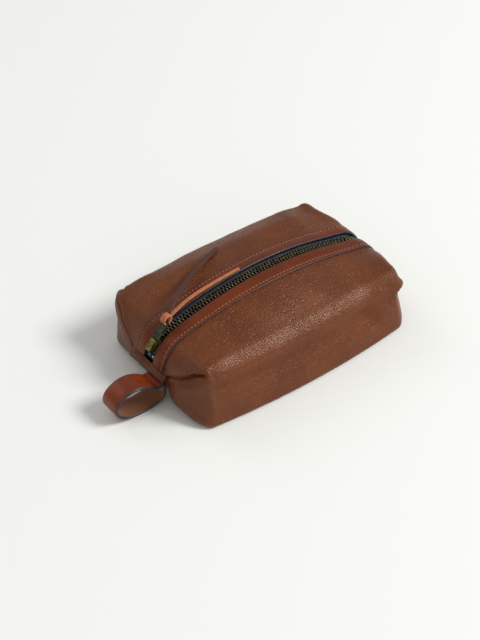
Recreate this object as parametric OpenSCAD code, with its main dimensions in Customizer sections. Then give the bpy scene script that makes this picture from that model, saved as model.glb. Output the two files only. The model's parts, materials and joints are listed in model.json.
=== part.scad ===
// Soft leather wash bag with folded ends, a metal zip along the top and a carry loop.
// X runs along the bag towards the closed end of the zip, Y to the back, Z up.
// The origin is the centre of the base, on the surface that the bag stands on.

/* [Bag] */
// Length between the end seams
bag_length = 236; // [220:1:250]
// Width across the top edges
top_width = 130; // [120:1:136]
// Width across the base
base_width = 140; // [134:1:146]
// Height of the top edges above the base
edge_height = 57; // [54:1:60]
// Height of the top of the zip teeth at their highest
crown_height = 72.4; // [70:0.2:74]
// Place along the bag where the zip is highest
crown_x = 5; // [0:1:10]
// Length of each end seam
seam_length = 48; // [44:1:52]
// Height of the end seams above the base
seam_height = 26.5; // [25:0.5:28]
// How far the seam lips stand out from the ends
lip_reach = 7; // [5:0.5:8]
// Thickness of the leather
leather = 2; // [1.6:0.1:2.2]
// Thickness of the lining cloth
lining_cloth = 0.8; // [0.6:0.1:1]

/* [Zip] */
// Width of the meshed teeth
chain_width = 7.8; // [7.4:0.1:8]
// Thickness of the teeth
chain_thickness = 3.2; // [3:0.1:3.4]
// Distance from one tooth to the next on the same tape
tooth_pitch = 3.2; // [3:0.1:3.6]
// Width of the leather facing strip beside the teeth
facing_width = 13; // [11:0.5:14]
// Half of the gap between the two facings
facing_gap = 6.5; // [6.3:0.1:7]
// Thickness of the facing strip
facing_thickness = 1.4; // [1.2:0.1:1.6]
// Distance from one facing stitch to the next
stitch_pitch = 4; // [3.6:0.1:5]

/* [Slider] */
// Length of the slider
slider_length = 12; // [11:0.5:12.5]
// Width of the slider at its open end
slider_width = 11.4; // [10.8:0.1:11.6]
// Where the slider stands with the zip closed
slider_start_x = -111; // [-112:0.5:-110]
// Where the slider stands with the zip open
slider_stop_x = 90; // [86:1:91]
// Length of the metal puller beyond its bar
puller_length = 26; // [22:1:28]
// Width of the metal puller
puller_width = 7.8; // [7:0.1:7.8]

/* [Carry loop] */
// Width of the loop strap
loop_width = 19.6; // [18:0.2:19.6]
// Thickness of the loop strap
loop_thickness = 2.6; // [2.2:0.1:3]
// Centre of the strap across the bag
loop_y = -14.2; // [-16:0.2:-14.2]

/* [Hidden] */

// Places along the bag
end_x = bag_length / 2;
cap_x = end_x - 1.4;
mouth_left = -85;
mouth_right = 98;
joint_gap = 0.4;
top_corner_x = 105;
base_corner_x = 109;
zip_bend_x = 97;
top_end_x = 116;
// Fall of the zip's long curve with the square of the distance from its crown
crown_fall = 0.0017;
leather_above_teeth = 1.1;
zip_depth = chain_thickness / 2;
edge_radius = 9;
end_edge_radius = 1.5;
panel_slope = 25;
dome_power = 1.7;
wall_bulge = 1.5;
panel_inner_y = 8;
flap_gap = 1.8;
tape_thickness = 0.8;
tape_edge_y = chain_width / 2 + 0.2;
tape_outer_y = 15;
stitch_radius = 0.45;
stitch_length = 2.6;
facing_outer_y = facing_gap + facing_width;
facing_stitch_y = facing_outer_y - 3;
facing_lift = 0.25;
tooth_length = 1.2;
tooth_mesh = 0.5;
lip_radius = 1.4;
lip_z = seam_height - 1.6;
lip_end_x = end_x + lip_reach - lip_radius;
lip_root_top = seam_height + 4.5;

// Section counts: across the top panel, round an edge, down the wall, across the base
top_steps = 8;
arc_steps = 3;
wall_steps = 3;
base_steps = 2;
section_count = top_steps + 2 * arc_steps + wall_steps + base_steps + 1;
ring_last = 2 * section_count - 2;

function mix(a, b, k) = a + (b - a) * k;
function ramp(x, low, high) = min(max((x - low) / (high - low), 0), 1);
function span(low, high, steps) = [for (i = [0:steps]) mix(low, high, i / steps)];

// Height of the top of the teeth along the bag; both ends round over down to the seams
function long_curve(x) = crown_height - crown_fall * pow(x - crown_x, 2);
function end_bend(x) = 1 - sqrt(1 - pow(ramp(abs(x), zip_bend_x, end_x), 2));
function chain_top(x) = mix(long_curve(x), seam_height, end_bend(x));
function chain_slope(x) = atan((chain_top(x + 0.1) - chain_top(x - 0.1)) / 0.2);
// A point in the slider's frame at the closed end: along the zip and up from its middle plane
function slider_point(along, up) =
    let (a = chain_slope(slider_start_x), lift = up - zip_depth)
    [slider_start_x + along * cos(a) - lift * sin(a),
     chain_top(slider_start_x) + along * sin(a) + lift * cos(a)];
// Places one step apart along the zip
function walk(x, step, stop) =
    x > stop ? [] : concat([x], walk(x + step * cos(chain_slope(x)), step, stop));

// Measures of the bag's section, which shrinks to a flat seam at each end
function top_k(x) = ramp(abs(x), top_corner_x, end_x);
function base_k(x) = ramp(abs(x), base_corner_x, end_x);
function top_half(x) = mix(top_width, seam_length, top_k(x)) / 2;
function base_half(x) = mix(base_width, seam_length, base_k(x)) / 2;
function top_z(x) = mix(edge_height, seam_height + 1.5, top_k(x));
function base_z(x) = mix(0, seam_height - 1.5, base_k(x));
function top_radius(x) = mix(edge_radius, end_edge_radius, top_k(x));
function base_radius(x) = mix(edge_radius, end_edge_radius, base_k(x));
function panel_edge_y(x) = top_half(x) - top_radius(x) * (1 - sin(panel_slope));
function panel_edge_z(x) = top_z(x) - top_radius(x) * (1 - cos(panel_slope));

// Height of the leather's outer face on the domed top
function top_height(x, y) =
    let (low = panel_edge_z(x), high = chain_top(x) + leather_above_teeth)
    low + (high - low) * (1 - pow(min(abs(y) / panel_edge_y(x), 1), dome_power));

// Half a section of the closed bag, from beside the zip round to the middle of the base
function half_section(x, inset) =
    let (
        r = max(top_radius(x) - inset, 0.4),
        q = max(base_radius(x) - inset, 0.4),
        w = top_half(x) - inset,
        v = base_half(x) - inset,
        high = top_z(x) - inset,
        low = base_z(x) + inset,
        rim_y = w - r + r * sin(panel_slope)
    )
    concat(
        [for (y = span(panel_inner_y, rim_y, top_steps)) [y, top_height(x, y) - inset]],
        [for (i = [1:arc_steps])
            let (a = mix(90 - panel_slope, 0, i / arc_steps))
            [w - r + r * cos(a), high - r + r * sin(a)]],
        [for (i = [1:wall_steps - 1])
            [mix(w, v, i / wall_steps) + wall_bulge * (1 - top_k(x)),
             mix(high - r, low + q, i / wall_steps)]],
        [for (a = span(0, -90, arc_steps)) [v - q + q * cos(a), low + q + q * sin(a)]],
        [for (i = [1:base_steps]) [(v - q) * (1 - i / base_steps), low]]
    );

// The whole section as an open ring, from the front of the zip under the base to its back
function ring_points(x, inset, first, last) =
    let (half = half_section(x, inset))
    [for (i = [first:last])
        i < section_count
            ? [x, -half[i].x, half[i].y]
            : [x, half[ring_last - i].x, half[ring_last - i].y]];

// A row of points across the front of the top, raised or sunk from the leather's outer face
function top_row(x, low_y, high_y, lift) =
    [for (y = span(low_y, high_y, top_steps)) [x, -y, top_height(x, y) + lift]];

// A sheet with thickness between two grids of points, rows along the bag
module sheet_solid(outer, inner) {
    rows = len(outer);
    cols = len(outer[0]);
    count = rows * cols;
    points = [for (row = outer) each row, for (row = inner) each row];
    faces = [
        for (r = [0:rows - 2], c = [0:cols - 2])
            let (a = r * cols + c, b = a + 1, e = a + cols, f = e + 1)
            each [[a, e, f], [a, f, b],
                  [count + a, count + f, count + e], [count + a, count + b, count + f]],
        for (c = [0:cols - 2])
            let (a = c, e = (rows - 1) * cols + c)
            each [[a, a + 1, count + a + 1], [a, count + a + 1, count + a],
                  [e + 1, e, count + e], [e + 1, count + e, count + e + 1]],
        for (r = [0:rows - 2])
            let (a = r * cols, e = a + cols - 1)
            each [[a + cols, a, count + a], [a + cols, count + a, count + a + cols],
                  [e, e + cols, count + e + cols], [e, count + e + cols, count + e]]
    ];
    polyhedron(points, faces, convexity = 6);
}

// A wall of the bag between two places along it and two points of the ring
module ring_sheet(xs, first, last, outer_inset, inner_inset) {
    sheet_solid(
        [for (x = xs) ring_points(x, outer_inset, first, last)],
        [for (x = xs) ring_points(x, inner_inset, first, last)]);
}

// A strip of the front of the top; its faces lie at two lifts from the leather's outer face
module top_sheet(xs, low_y, high_y, upper, lower) {
    sheet_solid(
        [for (x = xs) top_row(x, low_y, high_y, upper)],
        [for (x = xs) top_row(x, low_y, high_y, lower)]);
}

module both_sides() {
    children();
    mirror([0, 1, 0]) children();
}

// Puts its children on the zip's middle plane, with X along the zip
module on_zip(x, depth = zip_depth) {
    translate([x, 0, chain_top(x)])
        rotate([0, -chain_slope(x), 0])
            translate([0, 0, -depth])
                children();
}

mouth_xs = span(mouth_left + joint_gap, mouth_right - joint_gap, 14);
wrap_xs = [mouth_left, 0, mouth_right];
left_xs = [-cap_x, -115, -113, -111, -base_corner_x, -107, -top_corner_x, -101, -96, mouth_left];
right_xs = [mouth_right, 101, top_corner_x, 107, base_corner_x, 111, 113, 115, cap_x];
lining_xs = [-114, -112, -base_corner_x, -107, -top_corner_x, 0,
             top_corner_x, 107, base_corner_x, 112, 114];
left_zip_xs = [-top_end_x, -115, -113, -111, -base_corner_x, -107, -top_corner_x, -101, -96,
               mouth_left];
right_zip_xs = [mouth_right + joint_gap, 101, top_corner_x, 107, base_corner_x, 111, 113, 115,
                top_end_x];

// The outer hide, from one hinge line down under the base and up to the other
module body_wrap() {
    color("saddlebrown")
        ring_sheet(wrap_xs, top_steps, ring_last - top_steps, 0, leather);
}

// The ends fold in from top, base and sides to a flat seam, and stay open beside the zip
module left_end() {
    color("sienna")
        ring_sheet(left_xs, 0, ring_last, 0, leather);
}

module right_end() {
    color("sienna")
        ring_sheet(right_xs, 0, ring_last, 0, leather);
}

// The cloth inside stands a little clear of the hide
module lining() {
    color("rosybrown")
        ring_sheet(lining_xs, top_steps + 1, ring_last - top_steps - 1,
                   leather + 0.2, leather + 0.2 + lining_cloth);
}

// The two layers of hide sewn together at an end, standing out as a lip
module seam_lip() {
    hull() {
        translate([cap_x + 0.1, -seam_length / 2, lip_z - lip_radius])
            cube([1.4, seam_length, lip_root_top - lip_z + lip_radius]);
        translate([lip_end_x, seam_length / 2, lip_z])
            rotate([90, 0, 0])
                cylinder(r = lip_radius, h = seam_length, $fn = 24);
    }
}

module left_seam() {
    color("brown")
        mirror([1, 0, 0]) seam_lip();
}

module right_seam() {
    color("brown")
        seam_lip();
}

// A row of stitches on the sloping top of a lip
module seam_stitches() {
    run = lip_end_x + 0.6 - end_x;
    fall = lip_root_top - lip_z - lip_radius;
    stitch_count = floor(seam_length / stitch_pitch) - 1;
    for (i = [0:stitch_count])
        translate([end_x + run * 0.55,
                   (i - stitch_count / 2) * stitch_pitch,
                   lip_root_top - fall * 0.55 + 2.2 * stitch_radius])
            rotate([90, 0, 0])
                cylinder(r = stitch_radius, h = stitch_length, center = true, $fn = 16);
}

module left_seam_stitches() {
    color("peru")
        mirror([1, 0, 0]) seam_stitches();
}

module right_seam_stitches() {
    color("peru")
        seam_stitches();
}

// Leather facing strips, one on each side of the zip
module facing_strip(xs) {
    top_sheet(xs, facing_gap, facing_outer_y, facing_thickness + facing_lift, facing_lift);
}

module left_facing_ends() {
    color("firebrick")
        both_sides() facing_strip(left_zip_xs);
}

module right_facing_ends() {
    color("firebrick")
        both_sides() facing_strip(right_zip_xs);
}

// Stitches lie on the facing in a line near its outer edge
module stitch_line(low_x, high_x) {
    for (x = walk(low_x, stitch_pitch, high_x))
        translate([x, -facing_stitch_y,
                   top_height(x, facing_stitch_y) + facing_thickness + facing_lift + 0.1
                   + stitch_radius / cos(chain_slope(x))])
            rotate([0, 90 - chain_slope(x), 0])
                cylinder(r = stitch_radius, h = stitch_length, center = true, $fn = 16);
}

module facing_end_stitches() {
    color("peru")
        both_sides() {
            stitch_line(-112, mouth_left - stitch_length);
            stitch_line(mouth_right + stitch_length, 112);
        }
}

// Zip tape, under the leather beside the teeth
module tape_strip(xs) {
    top_sheet(xs, tape_edge_y, tape_outer_y, -leather - 0.3, -leather - 0.3 - tape_thickness);
}

// One tape's row of teeth; the other tape's teeth stand half a pitch further on
module tooth_row(low_x, high_x, shift) {
    places = walk(low_x, tooth_pitch / 2, high_x);
    for (i = [shift:2:len(places) - 1])
        on_zip(places[i])
            translate([-tooth_length / 2, -chain_width / 2, -chain_thickness / 2])
                cube([tooth_length, chain_width / 2 + tooth_mesh, chain_thickness]);
}

module right_end_tapes() {
    color("midnightblue")
        both_sides() tape_strip(right_zip_xs);
}

module right_end_teeth() {
    color("darkgoldenrod") {
        tooth_row(mouth_right + 1, end_x - 3.5, 0);
        mirror([0, 1, 0]) tooth_row(mouth_right + 1, end_x - 3.5, 1);
    }
}

// The small metal clips that stop the slider at the closed end
module top_stops() {
    color("silver")
        both_sides()
            on_zip(slider_start_x - 4.2)
                translate([-1.1, -3.4, -1.2]) cube([2.2, 2.4, 2.4]);
}

// The loop strap's own ends, sewn flat under the lip
module loop_ends() {
    color("maroon")
        translate([loop_pivot.x + loop_thickness / 2 + joint_gap, loop_y - loop_width / 2,
                   loop_pivot.y - loop_thickness / 2])
            cube([loop_root_x - loop_pivot.x - loop_thickness / 2 - joint_gap,
                  loop_width, loop_thickness]);
}

// The halves of the top that fold up and out when the zip opens
module top_panel() {
    sheet_solid(
        [for (x = mouth_xs)
            top_row(x, panel_inner_y, panel_edge_y(x) - flap_gap, 0)],
        [for (x = mouth_xs)
            top_row(x, panel_inner_y, panel_edge_y(x) - flap_gap, -leather)]);
}

module top_lining() {
    top_sheet(mouth_xs, tape_outer_y + 1, facing_outer_y + 32,
              -leather - 0.2, -leather - 0.2 - lining_cloth);
}

module front_top_panel() {
    color("saddlebrown")
        top_panel();
}

module back_top_panel() {
    color("saddlebrown")
        mirror([0, 1, 0]) top_panel();
}

module front_top_lining() {
    color("rosybrown")
        top_lining();
}

module back_top_lining() {
    color("rosybrown")
        mirror([0, 1, 0]) top_lining();
}

module front_facing() {
    color("firebrick")
        facing_strip(mouth_xs);
}

module back_facing() {
    color("firebrick")
        mirror([0, 1, 0]) facing_strip(mouth_xs);
}

module front_facing_stitches() {
    color("peru")
        stitch_line(mouth_left + stitch_length, mouth_right - stitch_length);
}

module back_facing_stitches() {
    color("peru")
        mirror([0, 1, 0])
            stitch_line(mouth_left + stitch_length, mouth_right - stitch_length);
}

tape_xs = concat([for (x = left_zip_xs) if (x < mouth_left) x], mouth_xs);
teeth_low_x = slider_start_x + 0.5;
teeth_high_x = mouth_right - 1;

module front_tape() {
    color("midnightblue")
        tape_strip(tape_xs);
}

module back_tape() {
    color("midnightblue")
        mirror([0, 1, 0]) tape_strip(tape_xs);
}

module front_teeth() {
    color("darkgoldenrod")
        tooth_row(teeth_low_x, teeth_high_x, 0);
}

module back_teeth() {
    color("darkgoldenrod")
        mirror([0, 1, 0]) tooth_row(teeth_low_x, teeth_high_x, 1);
}

// Slider heights, from the zip's middle plane
throat_half = chain_thickness / 2 + 0.5;
plate = 1.2;
plate_top = throat_half + plate;
bridge_width = 4.6;
bridge_wall = 1.3;
bridge_top = 8.3;
bar_x = -1.2;
bar_z = 5.2;
bar_radius = 0.75;
tab_thickness = 1.4;
wedge_x = -3.2;
post_x = -1.8;
post_radius = 1.1;
tab_window = 6;
slot_length = 3;
slot_end = 2.5;

// The round tail of the wedge between the slider's wings, on which the slider tilts
module slider_post() {
    color("gray")
        on_zip(slider_start_x)
            translate([post_x, post_radius, 0])
                rotate([90, 0, 0])
                    cylinder(r = post_radius, h = 2 * post_radius, $fn = 24);
}

// Outline of a wing: wide at the end with two throats, narrow at the other
module wing_outline(margin) {
    w = slider_width / 2 - margin;
    polygon([[-slider_length / 2, w - 1], [-slider_length / 2, 1 - w],
             [-slider_length / 2 + 1, -w], [-1, -w], [slider_length / 2 - 1, 0.7 - w],
             [slider_length / 2, 1.7 - w], [slider_length / 2, w - 1.7],
             [slider_length / 2 - 1, w - 0.7], [-1, w], [-slider_length / 2 + 1, w]]);
}

// Two wings with turned-in sides, joined by the wedge at the wide end
module slider_body() {
    color("darkkhaki")
        on_zip(slider_start_x) {
            translate([0, 0, -throat_half - plate / 2])
                linear_extrude(2 * throat_half + plate)
                    polygon([[1 - slider_length / 2, 1.7], [1 - slider_length / 2, -1.7],
                             [wedge_x, -1.2], [wedge_x, 1.2]]);
            difference() {
                translate([0, 0, -plate_top])
                    linear_extrude(2 * plate_top) wing_outline(0);
                translate([-slider_length, -4.2, -throat_half])
                    cube([2 * slider_length, 8.4, 2 * throat_half]);
                translate([-slider_length, -slider_width, -0.9])
                    cube([2 * slider_length, 2 * slider_width, 1.8]);
            }
        }
}

// The arch over the upper wing that holds the puller's bar
module slider_bridge() {
    color("darkkhaki")
        on_zip(slider_start_x)
            translate([-5, -bridge_width / 2, plate_top])
                difference() {
                    cube([9.6, bridge_width, bridge_top - plate_top]);
                    translate([bridge_wall, -1, -1])
                        cube([9.6 - 2 * bridge_wall, bridge_width + 2,
                              bridge_top - plate_top - bridge_wall + 1]);
                }
}

// The metal puller: a bar in the arch, two arms, and a flat tab with a slot at its end
module puller_tab() {
    color("darkslategray")
        on_zip(slider_start_x) {
            translate([bar_x, puller_width / 2, bar_z])
                rotate([90, 0, 0])
                    cylinder(r = bar_radius, h = puller_width, $fn = 24);
            difference() {
                translate([bar_x, -puller_width / 2, bar_z - tab_thickness / 2])
                    cube([puller_length, puller_width, tab_thickness]);
                translate([bar_x - 1, -bridge_width / 2 - 0.4, bar_z - tab_thickness])
                    cube([tab_window - bar_x + 2, bridge_width + 0.8, 2 * tab_thickness]);
                translate([bar_x + puller_length - slot_end - slot_length,
                           -puller_width / 2 + 1.1, bar_z - tab_thickness])
                    cube([slot_length, puller_width - 2.2, 2 * tab_thickness]);
            }
        }
}

// The leather thong: a loop through the slot and two tails
thong_width = 5;
thong_thickness = 1.6;
tail_start = bar_x + puller_length + 2;
lower_start = slider_point(tail_start, bar_z - 1);
upper_start = slider_point(tail_start, bar_z + 1.8);
lower_tail = [[lower_start.x, 0, lower_start.y], [-90, 2.5, 68], [-78, 4.5, 68],
              [-64, 6, 69], [-48, 7, 71.6], [-32, 7.5, 73.8], [-16, 7.5, 75.4]];
upper_tail = [[upper_start.x, 0, upper_start.y], [-88, 6, 71.2], [-75, 12.5, 70.5],
              [-55, 26, 69], [-40, 33, 68], [-25, 40, 67], [-9, 48, 65.6]];

function unit(v) = v / norm(v);
function tail_ring(path, i, width) =
    let (
        low = max(i - 1, 0),
        high = min(i + 1, len(path) - 1),
        along = unit(path[high] - path[low]),
        side = unit(cross([0, 0, 1], along)) * width / 2,
        up = unit(cross(along, side)) * thong_thickness / 2
    )
    [path[i] + side + up, path[i] - side + up, path[i] - side - up, path[i] + side - up];

// A strap of four-sided section along a path
module strap(path, widths) {
    rings = [for (i = [0:len(path) - 1]) tail_ring(path, i, widths[i])];
    last = 4 * (len(path) - 1);
    polyhedron(
        [for (ring = rings) each ring],
        concat(
            [for (r = [0:len(path) - 2], c = [0:3])
                let (a = 4 * r + c, b = 4 * r + (c + 1) % 4)
                each [[a, b + 4, b], [a, a + 4, b + 4]]],
            [[0, 1, 2], [0, 2, 3], [last + 2, last + 1, last], [last + 3, last + 2, last]]),
        convexity = 4);
}

module thong() {
    wrap_start = bar_x + puller_length - slot_end - slot_length + 0.5;
    wrap_end = bar_x + puller_length + 3;
    color("chocolate") {
        on_zip(slider_start_x)
            difference() {
                translate([wrap_start, -thong_width / 2, bar_z - 2.9])
                    cube([wrap_end - wrap_start, thong_width, 5.8]);
                translate([wrap_start + thong_thickness, -thong_width, bar_z - 1.3])
                    cube([wrap_end - wrap_start - 2 * thong_thickness - 0.4,
                          2 * thong_width, 2.6]);
            }
        strap(lower_tail, [for (i = [0:6]) thong_width]);
        strap(upper_tail, [for (i = [0:6]) mix(thong_width, 1.6, i / 6)]);
    }
}

// The carry loop's centre line: out from under the lip, round, and back along the ground
loop_pivot = [-127.8, 21];
loop_root_x = -119.2;
loop_path = [loop_pivot, [-134, 26.2], [-141, 30.4], [-148.5, 31.4], [-156, 29.3],
             [-161.6, 24.2], [-163.6, 17], [-160.5, 9.5], [-153, 4], [-143, 1.9],
             [-132, 2.3], [-123, 5], [-119, 10], [-119.2, 15.6]];
loop_steps = 4;

// A smooth curve through the path's points
function curve_point(path, i, t) =
    let (
        a = path[max(i - 1, 0)],
        b = path[i],
        c = path[i + 1],
        d = path[min(i + 2, len(path) - 1)]
    )
    0.5 * (2 * b + (c - a) * t + (2 * a - 5 * b + 4 * c - d) * pow(t, 2)
           + (3 * b - a - 3 * c + d) * pow(t, 3));
loop_curve = concat(
    [for (i = [0:len(loop_path) - 2], s = [0:loop_steps - 1])
        curve_point(loop_path, i, s / loop_steps)],
    [loop_path[len(loop_path) - 1]]);
function loop_side(i) =
    let (d = unit(loop_curve[min(i + 1, len(loop_curve) - 1)] - loop_curve[max(i - 1, 0)]))
    [-d.y, d.x] * loop_thickness / 2;

module carry_loop() {
    last = len(loop_curve) - 1;
    color("maroon")
        translate([0, loop_y + loop_width / 2, 0])
            rotate([90, 0, 0])
                linear_extrude(loop_width)
                    polygon(concat(
                        [for (a = [-90:15:90])
                            loop_pivot + sin(a) * loop_side(0)
                            + cos(a) * [-loop_side(0).y, loop_side(0).x]],
                        [for (i = [1:last]) loop_curve[i] + loop_side(i)],
                        [for (i = [last:-1:1]) loop_curve[i] - loop_side(i)]));
}

body_wrap();
left_end();
right_end();
lining();
left_seam();
right_seam();
left_seam_stitches();
right_seam_stitches();
left_facing_ends();
right_facing_ends();
facing_end_stitches();
right_end_tapes();
right_end_teeth();
top_stops();
loop_ends();
front_top_panel();
front_facing();
front_facing_stitches();
front_top_lining();
front_tape();
front_teeth();
back_top_panel();
back_facing();
back_facing_stitches();
back_top_lining();
back_tape();
back_teeth();
slider_post();
slider_body();
slider_bridge();
puller_tab();
thong();
carry_loop();
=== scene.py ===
# %% [markdown]
# # A soft leather wash bag, dressed for its frame
#
# The frame holds the bag's exact sizes, its joints and its collision solids. This lesson
# dresses it: a pebbled hide with folded ends, smooth facing strips beside a metal zip, a
# slider with a puller and a leather thong, a cloth lining, and a carry loop at one end.
# The slider, the puller, the thong's fold, the lips and the top stops ride on bodies of the frame.

# %% Load the frame
import json
import math

import bmesh
import bpy
import numpy as np
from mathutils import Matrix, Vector, noise


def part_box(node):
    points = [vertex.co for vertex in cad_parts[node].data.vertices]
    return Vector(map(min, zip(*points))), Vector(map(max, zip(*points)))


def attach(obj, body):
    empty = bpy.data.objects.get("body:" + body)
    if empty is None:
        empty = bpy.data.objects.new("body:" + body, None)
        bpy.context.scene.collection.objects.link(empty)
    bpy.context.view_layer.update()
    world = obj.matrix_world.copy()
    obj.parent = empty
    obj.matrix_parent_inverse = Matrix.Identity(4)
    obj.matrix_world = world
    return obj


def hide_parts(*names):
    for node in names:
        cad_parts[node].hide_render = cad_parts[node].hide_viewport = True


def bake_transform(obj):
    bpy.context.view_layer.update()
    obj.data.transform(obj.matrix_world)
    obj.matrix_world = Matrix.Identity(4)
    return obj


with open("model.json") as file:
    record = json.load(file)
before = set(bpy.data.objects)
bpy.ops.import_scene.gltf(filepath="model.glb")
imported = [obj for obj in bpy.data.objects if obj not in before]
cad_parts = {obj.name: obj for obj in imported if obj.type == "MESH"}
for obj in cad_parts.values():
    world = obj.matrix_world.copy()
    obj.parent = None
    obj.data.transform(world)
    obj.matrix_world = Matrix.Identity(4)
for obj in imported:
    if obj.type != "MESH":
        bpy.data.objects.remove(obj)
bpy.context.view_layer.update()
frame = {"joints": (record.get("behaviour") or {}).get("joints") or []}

# %% [markdown]
# ## The measures that shape the bag
#
# A maker works in millimetres, so every shape below is worked out in millimetres and
# turned into metres when its mesh is made. The driving measures are those of the frame:
# boxes of its nodes give the widths and heights, and its joints give the pivots.

# %% Measures
MM = 0.001


def node_box(node):
    """Lowest and highest corner of a CAD node, in millimetres."""
    low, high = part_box(node)
    return np.array(low) / MM, np.array(high) / MM


pivot = {joint["name"]: np.array(joint["pos_m"]) / MM for joint in frame["joints"]}
seam_high = node_box("right_seam")[1]

end_x = node_box("right_end")[1][0] + 1.4
seam_half = seam_high[1]
seam_height = 26.5
base_half = node_box("body_wrap")[1][1]
edge_half = base_half - 5
edge_height = 57.0
edge_radius = 9.0
mid_radius = 17.0
base_radius = 4.5
crown_height = node_box("front_teeth")[1][2]
crown_x = 5.0
crown_fall = 0.0017
bend_x = end_x - 21
top_corner_x = end_x - 13
base_corner_x = end_x - 9
leather = 2.0
zip_depth = 1.6
skin_over_teeth = 1.1
print("bag", 2 * end_x, "long,", 2 * base_half, "wide,", round(crown_height, 1), "high, mm")


# %% Small helpers for curves
def mix(a, b, share):
    return a + (b - a) * share


def ramp(x, low, high):
    return np.clip((np.asarray(x, float) - low) / (high - low), 0, 1)


def smooth(x, low, high):
    share = ramp(x, low, high)
    return share * share * (3 - 2 * share)


def eased_ramp(x, low, high, rounding):
    """A ramp from 0 to 1 that starts along a short curve instead of with a sharp bend."""
    run = np.asarray(x, float) - low
    curve = np.clip(run + rounding, 0, 2 * rounding) ** 2 / (4 * rounding)
    return np.minimum((curve + np.maximum(run - rounding, 0)) / (high - low), 1)


def hump(x, centre, width):
    """A soft bell, 1 at the centre and nearly 0 at twice the width from it."""
    return np.exp(-(((x - centre) / width) ** 2))


def unit(vectors):
    return vectors / np.maximum(np.linalg.norm(vectors, axis=-1, keepdims=True), 1e-9)


# %% The zip's curve along the bag
def zip_height(x):
    """Height of the top of the teeth: a long shallow arch that rolls over at both ends."""
    arch = crown_height - crown_fall * (x - crown_x) ** 2
    roll = 1 - np.sqrt(1 - ramp(np.abs(x), bend_x, end_x) ** 2)
    return mix(arch, seam_height, roll)


def zip_slope(x):
    return np.arctan((zip_height(x + 0.1) - zip_height(x - 0.1)) / 0.2)


def stations(low, high, step):
    """Places along the bag whose distances along the zip's curve are equal."""
    fine = end_x * np.sin(np.linspace(math.asin(low / end_x), math.asin(high / end_x), 9001))
    run = np.hypot(np.diff(fine), np.diff(zip_height(fine)))
    length = np.concatenate([[0], np.cumsum(run)])
    count = max(int(round(length[-1] / step)), 2)
    return np.interp(np.linspace(0, length[-1], count + 1), length, fine)


print("zip curve:", [round(float(zip_height(x)), 1) for x in (-117, -105, -60, 5, 60, 105)])


# %% The bag's section at any place along it
def section_at(x):
    """Widths, heights and edge radii of the section, which shrinks to a seam at each end."""
    top = eased_ramp(np.abs(x), top_corner_x, end_x, 3.5) ** 1.1
    corner = np.where(np.asarray(x) < 0, end_x - 6, base_corner_x)
    base = eased_ramp(np.abs(x), corner, end_x, 7.5) ** 1.1
    return {"top_half": mix(edge_half, seam_half, top),
            "top_z": mix(edge_height, seam_height + 1.5, top),
            "top_radius": mix(mix(mid_radius, edge_radius, smooth(np.abs(x), 66, 104)), 1.5, top),
            "base_half": mix(base_half, seam_half, base),
            "base_z": mix(0, seam_height - 1.5, base),
            "base_radius": mix(base_radius, 1.5, base),
            "end_share": top, "base_share": base}


panel_slope = math.radians(25)


def top_height(x, y):
    """Height of the hide's outer face on the domed top."""
    s = section_at(x)
    rim_y = s["top_half"] - s["top_radius"] * (1 - math.sin(panel_slope))
    rim_z = s["top_z"] - s["top_radius"] * (1 - math.cos(panel_slope))
    crest = zip_height(x) + skin_over_teeth
    return mix(crest, rim_z, np.minimum(np.abs(y) / rim_y, 1) ** 1.7)


def swell(points):
    """The right end stands fuller than the left: its top is pushed out over the seam."""
    x, y, z = points[..., 0], np.abs(points[..., 1]), points[..., 2]
    out = 7.0 * smooth(x, 82, 108) * smooth(z, 27, 42) * (1 - smooth(y, 22, 58))
    return points + out[..., None] * np.array([1.0, 0, 0])


def on_top(x, y, lift):
    """Points at a lift from the hide's outer face on the top, measured square to it."""
    x, y, lift = np.broadcast_arrays(np.clip(x, -end_x + 0.1, end_x - 0.1), y, lift)
    step = 0.04
    along = np.stack([x * 0 + 2 * step, x * 0,
                      top_height(x + step, y) - top_height(x - step, y)], -1)
    across = np.stack([x * 0, x * 0 + 2 * step,
                       top_height(x, y + step) - top_height(x, y - step)], -1)
    normal = unit(np.cross(along, across))
    return swell(np.stack([x, y, top_height(x, y)], -1) + normal * lift[..., None])


print("top edge at mid length:", np.round(on_top(0.0, 59.0, 0.0), 1))

# %% [markdown]
# ## Camera, floor and light
#
# The camera looks down on the bag from the front left, at about forty degrees, with a long
# lens so that its sides stay nearly parallel. A soft light stands high at the front right:
# seen from the camera it mirrors in the rolled front edge, which gives the long pale
# highlight of a full-grain hide. Two weak lights, one low at the front left and one behind,
# open up the shadows. An even bright sky keeps the paper floor almost white.

# %% Camera
camera_azimuth = math.radians(-37.41)
camera_elevation = math.radians(41.26)
camera_distance = 1.3375
camera_target = Vector((-0.02447, -0.00566, 0.030))
backwards = Vector((math.sin(camera_azimuth) * math.cos(camera_elevation),
                    -math.cos(camera_azimuth) * math.cos(camera_elevation),
                    math.sin(camera_elevation)))
camera = bpy.data.objects.new("camera", bpy.data.cameras.new("camera"))
bpy.context.scene.collection.objects.link(camera)
camera.location = camera_target + backwards * camera_distance
camera.rotation_euler = (-backwards).to_track_quat("-Z", "Y").to_euler()
camera.data.sensor_width = 36
camera.data.lens = 85.5
camera.data.clip_end = 20
bpy.context.scene.camera = camera
bpy.context.scene.view_settings.view_transform = "Standard"
print("camera at", [round(c, 3) for c in camera.location])


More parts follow.
